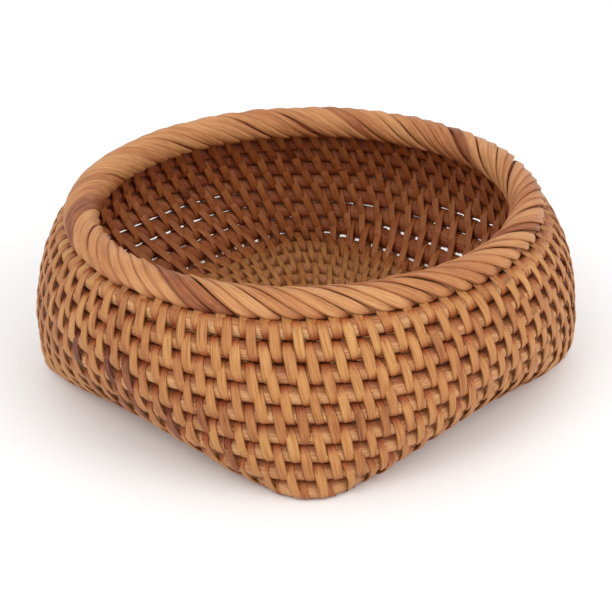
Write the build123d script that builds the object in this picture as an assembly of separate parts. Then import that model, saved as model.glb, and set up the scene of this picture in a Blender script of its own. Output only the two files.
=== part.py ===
from build123d import *
import math
import os

# Woven fruit basket of coiled rattan: level courses of round rattan core rod, sewn to each
# other with narrow loops of flat rattan peel, and a thick rim hoop wrapped with slanted peel.
# The floor is a rounded square, the wall turns from that square into a circle as it rises.
# Z is up, the origin is at the middle of the base, and the square's sides run along X and Y.

# ---- rattan stock, mm ----
rod_d = 5.8                 # round core rod that every course is bent from
rod_seam = 0.3              # air between the two butted ends of one course
peel_w = 3.0                # flat peel strand that sews the wall
peel_t = 0.5
floor_peel_w = 2.2          # finer peel strand that sews the floor
floor_peel_t = 0.3
sewing_clearance = 0.08     # air between a strand and the rod it goes round
course_slack = 0.22         # extra air between two courses that are sewn tight

# ---- floor ----
floor_courses = 10          # courses inside the base edge
centre_hole = 0.4           # radius of the hole left inside the first, tightest course
floor_dome = 0.05           # each course towards the middle stands this much higher
base_roundness = 0.22       # corner radius of the base edge as a share of its half-width
floor_stitch_pitch = 7.0    # distance between two stitches along a floor course

# ---- wall ----
wall_courses = 9            # courses from the base edge up to the rim
wall_top_lean = 29.0        # inward lean of the wall's corners just under the rim, degrees
rounding_power = 3.5        # how soon the square turns round on the way up
wall_columns = 72           # stitches in each wall course, and strands on the rim

# ---- rim ----
rim_core_d = 8.8            # thick rod inside the rim
rim_seat_lean = 48.0        # direction from the top course to the rim's core, degrees from +Z
rim_strand_t = 0.85
rim_strand_fill = 0.96      # share of its column that a rim strand covers
rim_wrap_columns = 4        # columns that a rim strand moves along as it crosses the rim
rim_wrap_outer = 15.0       # tube angles where a strand starts and ends, degrees from outward
rim_wrap_inner = 235.0
rim_wrap_steps = 12

# ---- sizes that follow ----
rod_r = rod_d / 2
rim_core_r = rim_core_d / 2
first_layer = rod_r + sewing_clearance                      # inner radius of a strand on a bare rod
second_layer = first_layer + floor_peel_t + sewing_clearance  # and of one that crosses over another
peel_reach = first_layer + peel_t
wall_pitch = 2 * peel_reach + course_slack
floor_pitch = first_layer + second_layer + 2 * floor_peel_t + sewing_clearance + course_slack
centre_radius = rod_r + centre_hole
base_half = centre_radius + floor_courses * floor_pitch
base_edge_z = peel_reach
floor_z = second_layer + peel_t
DIAGONAL = math.sqrt(2)


class Course:
    """One course's centreline: a level square of half-width `half` with corners of radius `corner`."""

    def __init__(self, half, roundness, z):
        self.half = half
        self.z = z
        self.corner = half * roundness
        self.straight = half - self.corner          # half the length of a straight side
        if self.straight < rod_seam:
            self.corner, self.straight = half, 0.0
        self.quarter = 2 * self.straight + math.pi * self.corner / 2
        self.length = 4 * self.quarter

    def at(self, share):
        """Point and direction at a share, 0 to 1, of the way round from the middle of the +X side."""
        along = (share % 1.0) * self.length
        side = int(along // self.quarter)
        along -= side * self.quarter
        if along < self.straight:
            x, y, turn = self.half, along, 0.0
        elif along < self.quarter - self.straight:
            turn = (along - self.straight) / self.corner
            x = self.straight + self.corner * math.cos(turn)
            y = self.straight + self.corner * math.sin(turn)
        else:
            x, y, turn = self.quarter - along, self.half, math.pi / 2
        point = Vector(x, y, 0).rotate(Axis.Z, 90 * side) + Vector(0, 0, self.z)
        heading = turn + side * math.pi / 2
        return point, Vector(-math.sin(heading), math.cos(heading), 0)

    def outside(self, point):
        """Signed distance from a point to the centreline in plan, positive outside it."""
        over_x = abs(point.X) - self.straight
        over_y = abs(point.Y) - self.straight
        inner = min(max(over_x, over_y), 0.0)
        return math.hypot(max(over_x, 0.0), max(over_y, 0.0)) + inner - self.corner


def floor_course(number):
    """Course `number` of the floor, counted from the centre, where 0 is the tightest."""
    roundness = 1 - (1 - base_roundness) * number / floor_courses
    z = floor_z + floor_dome * (floor_courses - 1 - number)
    return Course(centre_radius + number * floor_pitch, roundness, z)


def wall_profile():
    """Corner reach and height of each wall course, and the rim core's radius and height."""
    reach = base_half * (DIAGONAL - (DIAGONAL - 1) * base_roundness)
    z = base_edge_z
    profile = [(reach, z)]
    for step in range(wall_courses - 1):
        lean = math.radians(wall_top_lean) * (step / (wall_courses - 2)) ** 2
        reach -= wall_pitch * math.sin(lean)
        z += wall_pitch * math.cos(lean)
        profile.append((reach, z))
    seat = rim_core_r + rod_r + peel_t + 4 * sewing_clearance + 2 * course_slack
    lean = math.radians(rim_seat_lean)
    return profile, reach - seat * math.sin(lean), z + seat * math.cos(lean)


PROFILE, rim_radius, rim_z = wall_profile()


def wall_course(number):
    """Course `number` of the wall, where 0 is the base edge."""
    reach, z = PROFILE[number]
    rise = (z - base_edge_z) / (rim_z - base_edge_z)
    roundness = 1 - (1 - base_roundness) * (1 - rise) ** rounding_power
    return Course(reach / (DIAGONAL - (DIAGONAL - 1) * roundness), roundness, z)


def hoop(course, radius, seam_side):
    """One rod bent round a course, its two ends butted in the middle of a side."""
    if course.straight == 0.0:
        gap = math.degrees(rod_seam / course.half)
        profile = Plane.XZ * Pos(course.half, 0) * Circle(radius)
        ring = revolve(profile, Axis.Z, revolution_arc=360 - gap)
        return Pos(0, 0, course.z) * Rot(0, 0, 90 * seam_side + gap / 2) * ring
    bend_profile = Plane.XZ * Pos(course.corner, 0) * Circle(radius)
    bend = Pos(course.straight, course.straight, 0) * revolve(bend_profile, Axis.Z, revolution_arc=90)
    run = Pos(0, course.half, 0) * Rot(0, 90, 0) * Cylinder(radius, 2 * course.straight)
    stub_length = course.straight - rod_seam / 2
    stub_middle = rod_seam / 2 + stub_length / 2
    stub = Rot(90, 0, 0) * Cylinder(radius, stub_length)
    pieces = [Pos(course.half, stub_middle, 0) * stub, Pos(course.half, -stub_middle, 0) * stub]
    pieces += [Rot(0, 0, 90 * side) * bend for side in range(4)]
    pieces += [Rot(0, 0, 90 * side) * run for side in range(3)]
    rod = pieces[0].fuse(*pieces[1:])
    return Pos(0, 0, course.z) * Rot(0, 0, 90 * seam_side) * rod


def belt(centre_a, radius_a, centre_b, radius_b, direction, width, thickness):
    """A closed band of strand round two rods: inner radii radius_a and radius_b."""
    gap = centre_b - centre_a
    length = gap.length
    tilt = math.acos((radius_a - radius_b) / length)

    def outline(extra):
        ra, rb = radius_a + extra, radius_b + extra
        top_a = (ra * math.cos(tilt), ra * math.sin(tilt))
        top_b = (length + rb * math.cos(tilt), rb * math.sin(tilt))
        low_a, low_b = (top_a[0], -top_a[1]), (top_b[0], -top_b[1])
        edges = [
            Line(top_a, top_b),
            ThreePointArc(top_b, (length + rb, 0), low_b),
            Line(low_b, low_a),
            ThreePointArc(low_a, (-ra, 0), top_a),
        ]
        return make_face(Wire(edges).edges())

    face = outline(thickness) - outline(0)
    plane = Plane(origin=centre_a, x_dir=gap, z_dir=direction)
    return extrude(plane * face, amount=width / 2, both=True)


def four_sides(shapes):
    """The shapes of one quarter of the basket, repeated on all four sides."""
    return [Rot(0, 0, 90 * side) * shape for side in range(4) for shape in shapes]


def square_on(course, point, way, reach):
    """Where a course meets the line through a point at right angles to `way`, in plan."""
    outward = Vector(way.Y, -way.X, 0)
    near, far = -reach, reach
    while far - near > 1e-6:
        middle = (near + far) / 2
        if course.outside(point + outward * middle) < 0:
            near = middle
        else:
            far = middle
    return point + outward * far + Vector(0, 0, course.z - point.Z)


def wall_stitches(lower, upper, offset):
    """The loops of peel that sew two wall courses together, one in each column."""
    loops = []
    for column in range(wall_columns // 4):
        a, way = lower.at((column + offset) / wall_columns)
        b = square_on(upper, a, way, 2 * wall_pitch)
        _, upper_way = upper.at((column + offset) / wall_columns)
        skew = way.cross(upper_way).length * peel_w / 2
        loops.append(belt(a, first_layer, b, first_layer + skew, way, peel_w, peel_t))
    return four_sides(loops)


def floor_stitches(inner_course, outer_course, offset):
    """The loops that sew two floor courses. Each passes over the stitches of the course inside it."""
    quarter_count = max(2, round(outer_course.quarter / floor_stitch_pitch))
    flat_width = 2 * math.sqrt(2 * inner_course.corner * 0.9 * sewing_clearance)
    width = min(floor_peel_w, flat_width)
    loops = []
    for column in range(quarter_count):
        a, way = inner_course.at((column + offset) / quarter_count / 4)
        b = square_on(outer_course, a, way, 3 * floor_pitch)
        loops.append(belt(a, second_layer, b, first_layer, way, width, floor_peel_t))
    return four_sides(loops)


def base_edge_stitches(inner_course, base_edge, offset):
    """The loops under the base edge. Their flat undersides are what the basket stands on.

    They crowd together where they turn a corner, so there one is left out for want of room."""
    loops = []
    last_end = None
    for column in range(wall_columns // 4):
        a, way = base_edge.at((column + offset) / wall_columns)
        b = square_on(inner_course, a, way, 2 * floor_pitch)
        inner_end = b + (b - a).normalized() * (second_layer + peel_t)
        if last_end is not None and (inner_end - last_end).length < floor_peel_w + 2 * sewing_clearance:
            continue
        last_end = inner_end
        loops.append(belt(b, second_layer, a, first_layer, way, floor_peel_w, peel_t))
    return four_sides(loops)


def rim_ties():
    """The loops that sew the rim's core to the top course. They are alike all the way round."""
    top = wall_course(wall_courses - 1)
    core_centre = Vector(rim_radius, 0, rim_z)
    top_centre = Vector(top.half, 0, top.z)
    core_inner = rim_core_r + sewing_clearance
    tie = belt(core_centre, core_inner, top_centre, first_layer, Vector(0, 1, 0), peel_w, peel_t)
    first = wall_courses % 2 / 2
    return [Rot(0, 0, 360 * (column + first) / wall_columns) * tie for column in range(wall_columns)]


def rim_strand():
    """One peel strand laid slantwise over the rim, from its inner side over the crest to the outside."""
    inner_r = rim_core_r + 2 * sewing_clearance + peel_t
    outer_r = inner_r + rim_strand_t
    half_column = math.radians(360 / wall_columns) * rim_strand_fill / 2
    sections = []
    for step in range(rim_wrap_steps + 1):
        part = step / rim_wrap_steps
        tube = math.radians(rim_wrap_inner + (rim_wrap_outer - rim_wrap_inner) * part)
        around = math.radians(360 / wall_columns) * rim_wrap_columns * part
        corners = []
        for radius, side in ((inner_r, -1), (outer_r, -1), (outer_r, 1), (inner_r, 1)):
            reach = rim_radius + radius * math.cos(tube)
            angle = around + side * half_column
            height = rim_z + radius * math.sin(tube)
            corners.append((reach * math.cos(angle), reach * math.sin(angle), height))
        sections.append(Wire.make_polygon(corners, close=True))
    return Solid.make_loft(sections, ruled=True)


def solids_of(shapes):
    """Every separate solid in a list of shapes."""
    return [solid for shape in shapes for solid in shape.solids()]


def write(node, shapes):
    """Save one node as a group of separate solids."""
    export_step(Compound(label=node, children=solids_of(shapes)), f"parts/{node}.step")


os.makedirs("parts", exist_ok=True)
floor_line = [floor_course(number) for number in range(floor_courses)]
wall_line = [wall_course(number) for number in range(wall_courses)]

# Floor: the rods, then the stitches that sew each course to the one outside it.
for number, course in enumerate(floor_line):
    write(f"floor_rod_{number + 1:02d}", [hoop(course, rod_r, number % 4)])
for number, course in enumerate(floor_line[:-1]):
    loops = floor_stitches(course, floor_line[number + 1], number % 2 / 2)
    write(f"floor_stitches_{number + 1:02d}", loops)
write("base_edge_stitches", base_edge_stitches(floor_line[-1], wall_line[0], 0.0))

# Wall: the rods from the base edge up, and the stitches between them.
for number, course in enumerate(wall_line):
    write(f"wall_rod_{number + 1:02d}", [hoop(course, rod_r, number % 4)])
for number, course in enumerate(wall_line[:-1]):
    loops = wall_stitches(course, wall_line[number + 1], (number + 1) % 2 / 2)
    write(f"wall_stitches_{number + 1:02d}", loops)

# Rim: the thick core hoop, the ties that hold it down and the slanted strands over it.
write("rim_core_hoop", [hoop(Course(rim_radius, 1.0, rim_z), rim_core_r, 2)])
write("rim_ties", rim_ties())
strand = rim_strand()
strands = [Rot(0, 0, 360 * column / wall_columns) * strand for column in range(wall_columns)]
write("rim_wrap_strands", strands)

top = rim_z + rim_core_r + 2 * sewing_clearance + peel_t + rim_strand_t
widest = max(course.half for course in wall_line) + peel_reach
print(f"height {top:.1f}, across the sides {2 * widest:.1f}, rim circle {2 * rim_radius:.1f}")
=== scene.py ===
"""Looks of the woven rattan basket: coiled rods, wrapped sewing strands and a bound rim."""

import math

import bpy
import numpy as np
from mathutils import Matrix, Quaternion, Vector


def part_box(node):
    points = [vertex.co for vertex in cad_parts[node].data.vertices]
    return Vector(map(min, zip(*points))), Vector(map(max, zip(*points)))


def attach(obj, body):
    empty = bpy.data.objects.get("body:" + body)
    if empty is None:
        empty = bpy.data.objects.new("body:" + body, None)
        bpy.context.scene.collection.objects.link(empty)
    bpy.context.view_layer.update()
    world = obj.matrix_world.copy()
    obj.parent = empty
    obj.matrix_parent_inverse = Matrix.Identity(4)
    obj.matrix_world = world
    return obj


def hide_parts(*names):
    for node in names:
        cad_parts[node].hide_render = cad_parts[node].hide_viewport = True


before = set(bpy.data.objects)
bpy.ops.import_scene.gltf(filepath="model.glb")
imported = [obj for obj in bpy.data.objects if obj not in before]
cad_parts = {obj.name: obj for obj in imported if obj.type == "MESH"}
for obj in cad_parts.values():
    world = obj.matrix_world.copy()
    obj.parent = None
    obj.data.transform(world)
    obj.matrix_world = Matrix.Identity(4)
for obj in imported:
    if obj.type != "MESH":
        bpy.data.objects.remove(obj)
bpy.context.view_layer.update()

MM = 0.001
rng = np.random.default_rng(413)

# ---------------------------------------------------------------- sizes in mm
columns = 72                 # stitches round each wall course
peel_width = 3.6
peel_thick = 0.82            # on the open face of a stitch
peel_thick_dive = 0.45       # where it dives between two rods
rod_swell = 0.44             # the rods as seen are this much thicker, which closes the gaps
inner_open = 0.53            # how much of the open face's light colour the inside keeps; the rest is painted shade
peel_bed = 0.26              # height of a strand's inner face above the CAD rod
outside_lean = 0.25          # share of a column that a stitch moves on the outside
lean_change = 0.09           # more of it on the +X side, less on the -X side
course_step = 0.53           # columns from one course's stitches to the next one's below
base_arch = 2.3              # rise of the base edge at the middle of each flat
arch_shares = (0.1, 0.3, 0.6, 0.9, 1.0, 0.6, 0.25)   # of it, from floor rod 7 out and up to wall rod 3
floor_peel_width = 2.4
floor_stitch_pitch = 6.2
rim_columns = 6.0            # columns that a rim strand crosses
rim_start, rim_end = 236.0, -24.0   # tube angles of a rim strand's ends
rim_strand_width = 4.3
rim_strand_thick = 1.35
rim_strand_rings = 28
rim_phase = 0.85             # columns from the first tie to the first strand
rim_ride = 0.75              # height of a strand over the core
rim_roll = 0.24              # radians that a strand is tipped, so that each overlaps the next
rod_sides = 12
edge_of_section = 1.6        # the "across" value at a strand's edges
close_pitch = 7.35           # rods that lie no further apart than this need no swelling
swell_share = 0.31           # how much of any gap beyond that the two rods close between them
most_swell = 1.0
base_edge_open = 0.6         # least openness of the strand under the base edge, which caps its painted shade and of the other strands, where they dive, capping their painted shade
wall_open = 0.25             # and of the other strands, where they dive
rim_tie_bulge = -1.7         # the ties are drawn into the groove under the rim
dark_level_first, dark_level_last = 1, 4     # wall courses with the darker strands on one side
dark_from, dark_to = 0.66, 0.80              # and the share of the way round where they gather
rod_rings = 240


# ---------------------------------------------------------------- the courses, read from the frame
class Course:
    """One hoop: a rounded square of half-width half and corner radius corner at height z."""

    def __init__(self, node, wander):
        low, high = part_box(node)
        co = np.array([v.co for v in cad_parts[node].data.vertices], float) / MM
        self.r = (high.z - low.z) / 2 / MM
        self.z = (high.z + low.z) / 2 / MM
        self.half = (high.x - low.x) / 2 / MM - self.r
        reach = np.abs(co[:, :2]).sum(1).max() / math.sqrt(2) - self.r
        corner = (math.sqrt(2) * self.half - reach) / (math.sqrt(2) - 1)
        self.corner = min(max(corner, 0.1), self.half)
        self.flat = self.half - self.corner
        self.quarter = 2 * self.flat + math.pi * self.corner / 2
        waves = np.arange(2, 8)
        self.waves = waves
        self.side_amp = rng.normal(0, wander, len(waves)) / waves ** 0.7
        self.up_amp = rng.normal(0, wander, len(waves)) / waves ** 0.7
        self.side_phase = rng.uniform(0, 2 * math.pi, len(waves))
        self.up_phase = rng.uniform(0, 2 * math.pi, len(waves))
        self.near = []
        self.arch = 0.0

    def swell(self, s):
        """Extra radius where the next courses lie further off, as on the flats of the base."""
        if not self.near:
            return 0 * np.asarray(s, float)
        here = self.at(s)[0]
        gap = np.max([np.linalg.norm(n.at(s)[0] - here, axis=-1) for n in self.near], 0)
        return np.clip((gap - close_pitch) * swell_share, 0, most_swell)

    def length(self):
        return 4 * self.quarter

    def at(self, s):
        """Centre points and counter-clockwise tangents at shares s of the way round."""
        s = np.asarray(s, float) % 1.0
        u = s * 4 * self.quarter
        k = np.minimum(np.floor(u / self.quarter), 3)
        u = u - k * self.quarter
        arc = math.pi * self.corner / 2
        turn = np.clip((u - self.flat) / max(self.corner, 1e-6), 0, math.pi / 2)
        first = u < self.flat
        last = u > self.flat + arc
        x = np.where(first, self.half, self.flat + self.corner * np.cos(turn))
        y = np.where(first, u, self.flat + self.corner * np.sin(turn))
        x = np.where(last, 2 * self.flat + arc - u, x)
        y = np.where(last, self.half, y)
        angle = turn + k * math.pi / 2
        c, q = np.cos(k * math.pi / 2), np.sin(k * math.pi / 2)
        out = np.stack([np.cos(angle), np.sin(angle), 0 * angle], -1)
        wave = 2 * math.pi * np.multiply.outer(s, self.waves)
        side = (self.side_amp * np.sin(wave + self.side_phase)).sum(-1)
        up = (self.up_amp * np.sin(wave + self.up_phase)).sum(-1)
        if self.arch:
            middle = np.minimum(u, self.quarter - u) / (self.flat + 0.3 * arc)
            bow = self.arch * np.cos(math.pi / 2 * np.minimum(middle, 1)) ** 2
            side, up = side - 0.7 * bow, up + bow
        point = np.stack([x * c - y * q, x * q + y * c, self.z + up], -1) + out * side[:, None]
        tangent = np.stack([-np.sin(angle), np.cos(angle), 0 * angle], -1)
        return point, tangent


floor_rods = [Course(f"floor_rod_{n:02d}", 0.05) for n in range(1, 11)]
wall_rods = [Course(f"wall_rod_{n:02d}", 0.22 if n > 1 else 0.05) for n in range(1, 10)]
rim_core = Course("rim_core_hoop", 0.12)
chain = floor_rods + wall_rods + [rim_core]
for rod_above, share_of_arch in zip(floor_rods[6:] + wall_rods[:3], arch_shares):
    rod_above.arch = base_arch * share_of_arch      # the flats of the base spring clear of the table
for low_rod, high_rod in zip(wall_rods[:5], wall_rods[1:6]):
    low_rod.near.append(high_rod)
    high_rod.near.append(low_rod)


def unit(v):
    return v / np.maximum(np.linalg.norm(v, axis=-1, keepdims=True), 1e-9)


# ---------------------------------------------------------------- mesh building
def mesh_piece(name, points, closed, attributes, material, replaced):
    """A skin over rings of points, shape (rings, around, 3) or (strands, rings, around, 3)."""
    if points.ndim == 3:
        points = points[None]
        attributes = {k: v[None] for k, v in attributes.items()}
    strands, rings, around, _ = points.shape
    grid = np.arange(strands * rings * around).reshape(strands, rings, around)
    step = grid if closed else grid[:, :-1]
    after = np.roll(grid, -1, 1) if closed else grid[:, 1:]
    quads = np.stack([step, np.roll(step, -1, 2), np.roll(after, -1, 2), after], -1)
    quads = quads.reshape(-1, 4)
    mesh = bpy.data.meshes.new(name)
    flat = (points.reshape(-1, 3) * MM).astype(np.float32)
    mesh.vertices.add(len(flat))
    mesh.vertices.foreach_set("co", flat.ravel())
    loops = [quads.ravel()]
    totals = [np.full(len(quads), 4)]
    if not closed:
        ends = np.concatenate([grid[:, 0, ::-1], grid[:, -1]])
        loops.append(ends.ravel())
        totals.append(np.full(len(ends), around))
    loops, totals = np.concatenate(loops), np.concatenate(totals)
    mesh.loops.add(len(loops))
    mesh.loops.foreach_set("vertex_index", loops.astype(np.int32))
    mesh.polygons.add(len(totals))
    starts = np.concatenate([[0], np.cumsum(totals)[:-1]])
    mesh.polygons.foreach_set("loop_start", starts.astype(np.int32))
    mesh.polygons.foreach_set("loop_total", totals.astype(np.int32))
    mesh.update(calc_edges=True)
    mesh.polygons.foreach_set("use_smooth", np.ones(len(totals), bool))
    for key, value in attributes.items():
        layer = mesh.attributes.new(key, "FLOAT", "POINT")
        layer.data.foreach_set("value", np.broadcast_to(value, grid.shape).ravel().astype(np.float32))
    mesh.materials.append(material)
    piece = bpy.data.objects.new(name, mesh)
    bpy.context.scene.collection.objects.link(piece)
    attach(piece, "root")
    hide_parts(*replaced)


def rod_piece(name, course, material, tint, lit_side_angle=0.0):
    """A round rod, never quite even in thickness, lying along its course."""
    s = np.arange(rod_rings) / rod_rings
    point, tangent = course.at(s)
    up = np.array([0.0, 0.0, 1.0])
    out = np.stack([tangent[:, 1], -tangent[:, 0], 0 * s], -1)
    turn = 2 * math.pi * np.arange(rod_sides) / rod_sides
    wave = 2 * math.pi * np.multiply.outer(s, np.array([5, 9, 14, 23]))
    swell = (np.sin(wave + rng.uniform(0, 6.3, 4)) * [0.02, 0.015, 0.012, 0.01]).sum(-1)
    radius = ((course.r + rod_swell + course.swell(s)) * (1 + swell))[:, None, None]
    ring = np.cos(turn)[None, :, None] * out[:, None] + np.sin(turn)[None, :, None] * up
    points = point[:, None] + ring * radius
    points[..., 2] = np.maximum(points[..., 2], 0.05)
    shape = (rod_rings, rod_sides)
    half_turn = np.where(turn > math.pi, 2 * math.pi - turn, turn)
    patches = np.cumsum(rng.normal(0, 0.05, rod_rings))
    patches -= np.linspace(0, patches[-1], rod_rings)
    # painted shade: the rod darkens round its section away from its lit side, down to inner_open of its
    # light colour on the far side
    openness = inner_open + (1 - inner_open) * (0.5 + 0.5 * np.cos(turn - lit_side_angle))
    facts = {
        "along": np.broadcast_to((s * course.length())[:, None], shape),
        "across": np.broadcast_to((half_turn * 2.2)[None], shape),
        "tint": np.broadcast_to((tint + 0.35 * patches)[:, None], shape),
        "open": np.broadcast_to(openness[None], shape),
    }
    mesh_piece(name, points, True, facts, material, [name_of(course)])


def name_of(course):
    """The CAD node that a course was read from."""
    place = chain.index(course)
    if course is rim_core:
        return "rim_core_hoop"
    if place < len(floor_rods):
        return f"floor_rod_{place + 1:02d}"
    return f"wall_rod_{place - len(floor_rods) + 1:02d}"


# a peel strand's section: flat below, crowned above, with soft edges (half-widths, thicknesses)
section_x = np.array([-1.0, -0.8, -0.3, 0.3, 0.8, 1.0, 0.78, -0.78])
section_y = np.array([0.42, 0.88, 1.0, 1.0, 0.88, 0.42, 0.0, 0.0])


def lay_strand(path, face, half_width, thick, roll):
    """A peel strand's rings along path, its face turned to face, with an edge lifted by roll."""
    ahead = unit(np.roll(path, -1, -2) - np.roll(path, 1, -2))
    if path.ndim == 3:
        ahead[:, 0] = unit(path[:, 1] - path[:, 0])
        ahead[:, -1] = unit(path[:, -1] - path[:, -2])
    wide = unit(np.cross(ahead, face))
    lift = np.cross(wide, ahead)
    c, q = np.cos(roll)[..., None], np.sin(roll)[..., None]
    wide, lift = wide * c + lift * q, lift * c - wide * q
    x = section_x * half_width[..., None]
    y = section_y * thick[..., None]
    return path[..., None, :] + x[..., None] * wide[..., None, :] + y[..., None] * lift[..., None, :]


def run_tints(count, low=0.28, high=0.62):
    """One tint for each stitch: a strand lasts some stitches, then the next strand takes over."""
    tints = np.empty(count)
    i = 0
    while i < count:
        n = int(rng.integers(5, 17))
        tints[i:i + n] = rng.beta(2.2, 2.4) * (high - low) + low
        i += n
    return np.clip(tints + rng.normal(0, 0.05, count), 0.02, 1.0)


def stitch_piece(name, lower, upper, count, phase, width, tints, node, material,
                 thick=(peel_thick, peel_thick_dive), lean=outside_lean, bulge=0.30, jitter=0.06,
                 steps=(9, 7, 9, 7), keeps=inner_open, least=wall_open):
    """One continuous strand wound round two neighbouring rods, one turn in each column."""
    n_out, n_low, n_in, n_top = steps
    per = sum(steps)
    q = np.concatenate([
        np.arange(n_out) / n_out, 1 + np.arange(n_low) / n_low,
        2 + np.arange(n_in) / n_in, 3 + np.arange(n_top) / n_top])
    q = np.tile(q, count)
    turn = np.repeat(np.arange(count), per)
    # where each turn's four corners lie round the basket, in columns
    top = np.arange(count) + phase + rng.normal(0, jitter, count)
    side = lean_change * np.cos(2 * math.pi * top / count)
    leans = lean + side + np.clip(rng.normal(0, 0.05, count), -0.12, 0.14)
    low = top + leans
    next_top = np.roll(top, -1)
    next_top[-1] += count
    next_lean = np.roll(leans, -1)
    dive = 0.29
    corners = np.stack([
        top + dive * leans, low - dive * leans, low + dive * (next_top - low),
        next_top - dive * (next_top - low), next_top + dive * next_lean], -1)
    leg = np.floor(q).astype(int)
    part = q - leg
    share = corners[turn, leg] * (1 - part) + corners[turn, leg + 1] * part
    kernel = np.array([1, 2, 3, 2, 1]) / 9
    wrapped = np.concatenate([share[-2:] - count, share, share[:2] + count])
    share = np.convolve(wrapped, kernel, "valid")
    p1, tangent = lower.at(share / count)
    p2, _ = upper.at(share / count)
    axis = p2 - p1
    gap = np.linalg.norm(axis, axis=-1)
    axis = unit(axis)
    outer = unit(np.cross(tangent, axis))
    r1 = lower.r + peel_bed + lower.swell(share / count)
    r2 = upper.r + (0.05 if upper is rim_core else peel_bed) + upper.swell(share / count)
    angle = np.select([leg == 0, leg == 1, leg == 2, leg == 3],
                      [0 * part, -math.pi * part, math.pi + 0 * part, math.pi * (1 - part)])
    slide = np.select([leg == 0, leg == 1, leg == 2, leg == 3],
                      [1 - part, 0 * part, part, 1 + 0 * part])
    centre = p1 + axis * (gap * slide)[:, None]
    radius = r1 + (r2 - r1) * slide
    face = outer * np.cos(angle)[:, None] + axis * np.sin(angle)[:, None]
    puff = np.where(leg == 0, np.sin(math.pi * part), 0) * (bulge + rng.normal(0, 0.08, count)[turn])
    puff += np.where(leg == 2, np.sin(math.pi * part), 0) * bulge * 0.7
    path = centre + face * (radius + puff)[:, None]
    widths = np.clip(width * (1 + rng.normal(0, 0.07, count)), width * 0.72, width * 1.1)
    blend = np.where(leg >= 2, (q - 2) / 2, 0)
    half_width = (widths[turn] * (1 - blend) + np.roll(widths, -1)[turn] * blend) / 2
    # painted shade: the strand darkens where it dives between the rods and on its inside leg (to the share
    # keeps), never below least
    depth = 0.5 + 0.5 * np.cos(2 * math.pi * part)
    openness = np.select([leg == 0, leg == 2, leg == 1],
                         [1 + 0 * part, keeps + 0 * part, np.where(part < 0.5, depth, keeps * depth)],
                         np.where(part > 0.5, depth, keeps * depth))
    openness = np.maximum(openness, least)
    thickness = thick[1] + (thick[0] - thick[1]) * np.where(leg % 2 == 0,
                                                            np.sin(math.pi * part) ** 0.5, 0)
    roll = np.where(leg == 0, part, np.where(leg == 1, 1 - part, 0)) * rng.normal(0.10, 0.07, count)[turn]
    half_width = half_width * np.where(leg % 2 == 1, 1 - 0.10 * np.sin(math.pi * part), 1)
    points = lay_strand(path, face, half_width, thickness, roll)
    points[..., 2] = np.maximum(points[..., 2], 0.0)
    rings = np.linalg.norm(np.roll(path, -1, 0) - path, axis=-1)
    along = np.concatenate([[0], np.cumsum(rings)[:-1]])
    tint = tints[turn] * (1 - blend) + np.roll(tints, -1)[turn] * blend
    shape = points.shape[:2]
    facts = {
        "along": np.broadcast_to(along[:, None], shape),
        "across": np.broadcast_to(section_x[None] * edge_of_section, shape),
        "tint": np.broadcast_to(tint[:, None], shape),
        "open": np.broadcast_to(openness[:, None], shape),
    }
    mesh_piece(name, points, True, facts, material, [node])


# ---------------------------------------------------------------- materials
def linear(r, g, b):
    return tuple((c / 255 / 12.92 if c <= 10 else ((c / 255 + 0.055) / 1.055) ** 2.4)
                 for c in (r, g, b)) + (1.0,)


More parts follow.
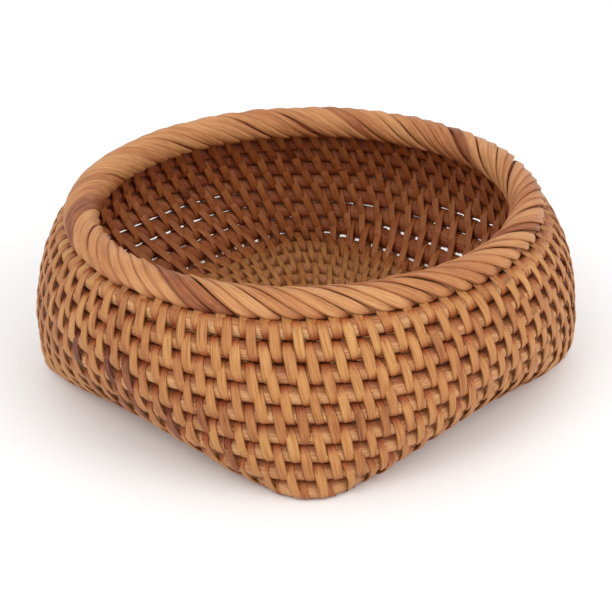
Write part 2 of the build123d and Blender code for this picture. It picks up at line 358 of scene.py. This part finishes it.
def cane(name, stops, grain, bump, rough, shade=0.42):
    """Rattan: tints by strand, lengthwise fibre streaks and grooves, darker edges, and painted shade on the
    hidden parts.
    """
    material = bpy.data.materials.new(name)
    material.use_nodes = True
    tree = material.node_tree
    nodes, links = tree.nodes, tree.links
    shader = nodes["Principled BSDF"]

    def fact(key):
        node = nodes.new("ShaderNodeAttribute")
        node.attribute_name = key
        return node.outputs["Fac"]

    def maths(kind, a, b):
        node = nodes.new("ShaderNodeMath")
        node.operation = kind
        for socket, value in zip(node.inputs, (a, b)):
            if isinstance(value, (int, float)):
                socket.default_value = value
            else:
                links.new(value, socket)
        return node.outputs[0]

    def noise(x, y, z, detail):
        place = nodes.new("ShaderNodeCombineXYZ")
        for socket, value in zip(place.inputs, (x, y, z)):
            links.new(value, socket)
        node = nodes.new("ShaderNodeTexNoise")
        node.inputs["Scale"].default_value = 1.0
        node.inputs["Detail"].default_value = detail
        node.inputs["Roughness"].default_value = 0.6
        links.new(place.outputs[0], node.inputs["Vector"])
        return node.outputs["Fac"]

    def spread(value, low, high, to_low, to_high):
        node = nodes.new("ShaderNodeMapRange")
        for key, number in (("From Min", low), ("From Max", high), ("To Min", to_low), ("To Max", to_high)):
            node.inputs[key].default_value = number
        links.new(value, node.inputs["Value"])
        return node.outputs[0]

    along, across, tint, opened = fact("along"), fact("across"), fact("tint"), fact("open")
    seed = maths("MULTIPLY", tint, 61.0)
    fine = noise(maths("MULTIPLY", across, 3.1 * grain), maths("MULTIPLY", along, 0.07), seed, 3.0)
    streak = noise(maths("MULTIPLY", across, 1.3 * grain), maths("MULTIPLY", along, 0.03), seed, 2.0)
    patch = noise(maths("MULTIPLY", along, 0.11), maths("MULTIPLY", across, 0.25), seed, 2.0)
    shift = maths("ADD", spread(streak, 0.3, 0.7, -0.10, 0.10), spread(patch, 0.3, 0.7, -0.10, 0.10))
    ramp = nodes.new("ShaderNodeValToRGB")
    ramp.color_ramp.interpolation = "B_SPLINE"
    while len(ramp.color_ramp.elements) < len(stops):
        ramp.color_ramp.elements.new(0.5)
    for element, (place, colour) in zip(ramp.color_ramp.elements, stops):
        element.position = place
        element.color = linear(*colour)
    links.new(maths("ADD", tint, shift), ramp.inputs[0])

    def darkened(colour, factor, tone):
        node = nodes.new("ShaderNodeMix")
        node.data_type = "RGBA"
        node.blend_type = "MULTIPLY"
        links.new(factor, node.inputs["Factor"])
        links.new(colour, node.inputs["A"])
        node.inputs["B"].default_value = linear(*tone)
        return node.outputs["Result"]

    grooves = spread(fine, 0.30, 0.52, 1.0, 0.0)
    colour = darkened(ramp.outputs[0], maths("MULTIPLY", grooves, 0.8), groove_tone)
    edge = spread(maths("ABSOLUTE", across, 0.0), 1.15, 1.6, 0.0, 0.5)
    colour = darkened(colour, edge, edge_tone)
    # painted shade: the less open a part is (gaps, rod undersides, the basket's inside), the more it is
    # darkened towards the red-brown shade tone
    hidden = maths("SUBTRACT", 1.0, opened)
    colour = darkened(colour, maths("MULTIPLY", hidden, shade * 2), painted_shade_tone)
    links.new(colour, shader.inputs["Base Color"])
    links.new(spread(fine, 0.3, 0.7, rough + 0.10, rough - 0.08), shader.inputs["Roughness"])
    shader.inputs["Specular IOR Level"].default_value = 0.35
    shader.inputs["Coat Weight"].default_value = 0.06
    shader.inputs["Coat Roughness"].default_value = 0.35
    height = maths("ADD", maths("MULTIPLY", fine, 0.6), maths("MULTIPLY", streak, 0.7))
    relief = nodes.new("ShaderNodeBump")
    relief.inputs["Strength"].default_value = bump
    relief.inputs["Distance"].default_value = 0.0008
    links.new(height, relief.inputs["Height"])
    links.new(relief.outputs[0], shader.inputs["Normal"])
    return material


groove_tone = (190, 140, 105)
edge_tone = (190, 135, 100)
# red-brown colour of the painted shade in gaps, on rod undersides and inside the basket
painted_shade_tone = (205, 78, 24)
peel_stops = [(0.0, (206, 159, 93)), (0.25, (197, 141, 80)), (0.45, (188, 127, 70)),
              (0.65, (167, 104, 53)), (0.85, (126, 64, 34)), (1.0, (89, 39, 21))]
rod_stops = [(0.0, (212, 163, 111)), (0.35, (198, 142, 92)), (0.7, (176, 113, 68)),
              (1.0, (130, 74, 41))]
rim_stops = [(0.0, (212, 157, 102)), (0.35, (199, 137, 85)), (0.6, (186, 121, 72)),
             (0.85, (156, 89, 48)), (1.0, (116, 57, 29))]
peel = cane("rattan_peel", peel_stops, 1.1, 0.85, 0.50)
rod = cane("rattan_core", rod_stops, 1.4, 0.9, 0.58, 0.5)
rim_cane = cane("rim_peel", rim_stops, 1.6, 0.9, 0.48)


# ---------------------------------------------------------------- rods
# painted shade on the rods: floor rods are lit from above (pi / 2), wall and rim rods from outside
for n, course in enumerate(floor_rods):
    rod_piece(f"floor_cane_{n + 1:02d}", course, rod, rng.uniform(0.05, 0.3), math.pi / 2)
for n, course in enumerate(wall_rods):
    rod_piece(f"wall_cane_{n + 1:02d}", course, rod, rng.uniform(0.25, 0.5))
rod_piece("rim_cane_core", rim_core, rod, 0.6)

# ---------------------------------------------------------------- stitches of floor, edge and wall
for n in range(len(floor_rods) - 1):
    lower, upper = floor_rods[n], floor_rods[n + 1]
    count = max(8, round((lower.length() + upper.length()) / 2 / floor_stitch_pitch))
    stitch_piece(f"floor_strand_{n + 1:02d}", lower, upper, count, 0.37 * n, floor_peel_width,
                 run_tints(count, 0.1, 0.45), f"floor_stitches_{n + 1:02d}", peel,
                 # keeps=0.8 gives the floor strands' inside legs less painted shade
                 thick=(0.6, 0.4), lean=0.62, bulge=0.3, steps=(6, 6, 8, 6), keeps=0.8)
edge_phase = course_step * 9
stitch_piece("base_edge_strand", floor_rods[-1], wall_rods[0], columns, edge_phase, peel_width,
             run_tints(columns), "base_edge_stitches", peel, bulge=0.0,
             least=base_edge_open)


def wall_tints(level):
    """Wall strands, with the darker reddish ones that gather low on one side."""
    tints = run_tints(columns)
    share = np.arange(columns) / columns
    gathered = (share > dark_from) & (share < dark_to) & (dark_level_first <= level <= dark_level_last)
    chance = np.where(gathered, 0.30, 0.015)
    dark = rng.uniform(0, 1, columns) < chance
    return np.where(dark, rng.uniform(0.68, 0.9, columns), tints)


for n in range(len(wall_rods) - 1):
    stitch_piece(f"wall_strand_{n + 1:02d}", wall_rods[n], wall_rods[n + 1], columns,
                 course_step * (8 - n), peel_width, wall_tints(n), f"wall_stitches_{n + 1:02d}",
                 peel)
stitch_piece("rim_tie_strand", wall_rods[-1], rim_core, columns, 0.0, peel_width,
             run_tints(columns), "rim_ties", peel, thick=(0.6, 0.4), bulge=rim_tie_bulge)

# ---------------------------------------------------------------- rim strands
strand = np.arange(columns)[:, None]
way = np.linspace(0, 1, rim_strand_rings)[None]
phase = rim_phase + rng.normal(0, 0.07, (columns, 1))
share = (strand + phase + rim_columns * way) / columns
core_point, core_tangent = rim_core.at(share.ravel())
core_point = core_point.reshape(share.shape + (3,))
core_tangent = core_tangent.reshape(share.shape + (3,))
core_out = np.stack([core_tangent[..., 1], -core_tangent[..., 0], 0 * share], -1)
start = rim_start + rng.normal(0, 2, (columns, 1))
end = rim_end + rng.normal(0, 4, (columns, 1))
angle = np.radians(start + (end - start) * way)
face = core_out * np.cos(angle)[..., None] + np.array([0, 0, 1.0]) * np.sin(angle)[..., None]
tuck = 0.45 * np.clip((way - 0.9) / 0.1, 0, 1) ** 1.5 + 0.5 * np.clip((0.06 - way) / 0.06, 0, 1)
ride_up = rim_core.r + rim_ride + rng.normal(0, 0.10, (columns, 1)) - tuck
path = core_point + face * ride_up[..., None]
taper = np.sqrt(np.clip((1 - way) / 0.13, 0.02, 1)) * np.sqrt(np.clip(way / 0.05, 0.15, 1))
half_width = rim_strand_width / 2 * (1 + rng.normal(0, 0.06, (columns, 1))) * taper
thick = rim_strand_thick * (0.35 + 0.65 * np.clip((1 - way) / 0.2, 0, 1)) + 0 * strand
roll = (rim_roll + rng.normal(0, 0.05, (columns, 1))) * np.ones_like(way)
points = lay_strand(path, face, half_width, thick, roll)
tints = np.clip(rng.beta(2, 2.6, columns) * 0.7 + 0.05, 0, 1)
tints[rng.choice(columns, 7, replace=False)] = rng.uniform(0.7, 0.9, 7)
shape = points.shape[:3]
steps = np.linalg.norm(np.diff(path, axis=1), axis=-1)
along = np.concatenate([np.zeros((columns, 1)), np.cumsum(steps, 1)], 1)
rim_facts = {
    "along": np.broadcast_to(along[..., None], shape),
    "across": np.broadcast_to(section_x * edge_of_section, shape),
    "tint": np.broadcast_to(tints[:, None, None], shape),
    # painted shade on each strand's end, where it tucks under the ties
    "open": np.broadcast_to(np.clip((1.03 - way) / 0.12, 0.2, 1)[..., None], shape),
}
mesh_piece("rim_wrap", points, False, rim_facts, rim_cane, ["rim_wrap_strands"])

# ---------------------------------------------------------------- floor, light, camera
bpy.ops.mesh.primitive_plane_add(size=8, location=(0, 0, -0.0002))
ground = bpy.context.object
ground.name = "ground"
paper = bpy.data.materials.new("pale_ground")
paper.use_nodes = True
paper.node_tree.nodes["Principled BSDF"].inputs["Base Color"].default_value = (0.93, 0.93, 0.93, 1)
paper.node_tree.nodes["Principled BSDF"].inputs["Roughness"].default_value = 0.9
ground.data.materials.append(paper)

world = bpy.data.worlds.new("studio")
bpy.context.scene.world = world
world.use_nodes = True
world.node_tree.nodes["Background"].inputs["Color"].default_value = (1, 1, 1, 1)
world.node_tree.nodes["Background"].inputs["Strength"].default_value = 0.92
bpy.context.scene.view_settings.view_transform = "Standard"


def soft_light(name, place, size, power):
    lamp = bpy.data.lights.new(name, "AREA")
    lamp.size = size
    lamp.energy = power
    holder = bpy.data.objects.new(name, lamp)
    bpy.context.scene.collection.objects.link(holder)
    holder.location = place
    holder.rotation_mode = "QUATERNION"
    holder.rotation_quaternion = (Vector(place) - Vector((0, 0, 0.03))).to_track_quat("Z", "Y")


soft_light("key", (0.15, -0.95, 0.95), 0.7, 4.5)
soft_light("fill", (1.0, 0.1, 0.7), 0.9, 5)

azimuth, elevation, camera_roll = math.radians(44.72), math.radians(27.59), math.radians(1.13)
back = Vector((math.sin(azimuth) * math.cos(elevation), -math.cos(azimuth) * math.cos(elevation),
               math.sin(elevation)))
right = Vector((math.cos(azimuth), math.sin(azimuth), 0))
target = right * -0.00012 + Vector((0, 0, 0.0212))
distance = 0.6305
lens = bpy.data.cameras.new("camera")
lens.sensor_width = 36
lens.lens = 95.1
lens.clip_start = 0.01
camera = bpy.data.objects.new("camera", lens)
bpy.context.scene.collection.objects.link(camera)
camera.location = target + back * distance
camera.rotation_mode = "QUATERNION"
camera.rotation_quaternion = (-back).to_track_quat("-Z", "Y") @ Quaternion((0, 0, 1), -camera_roll)
bpy.context.scene.camera = camera
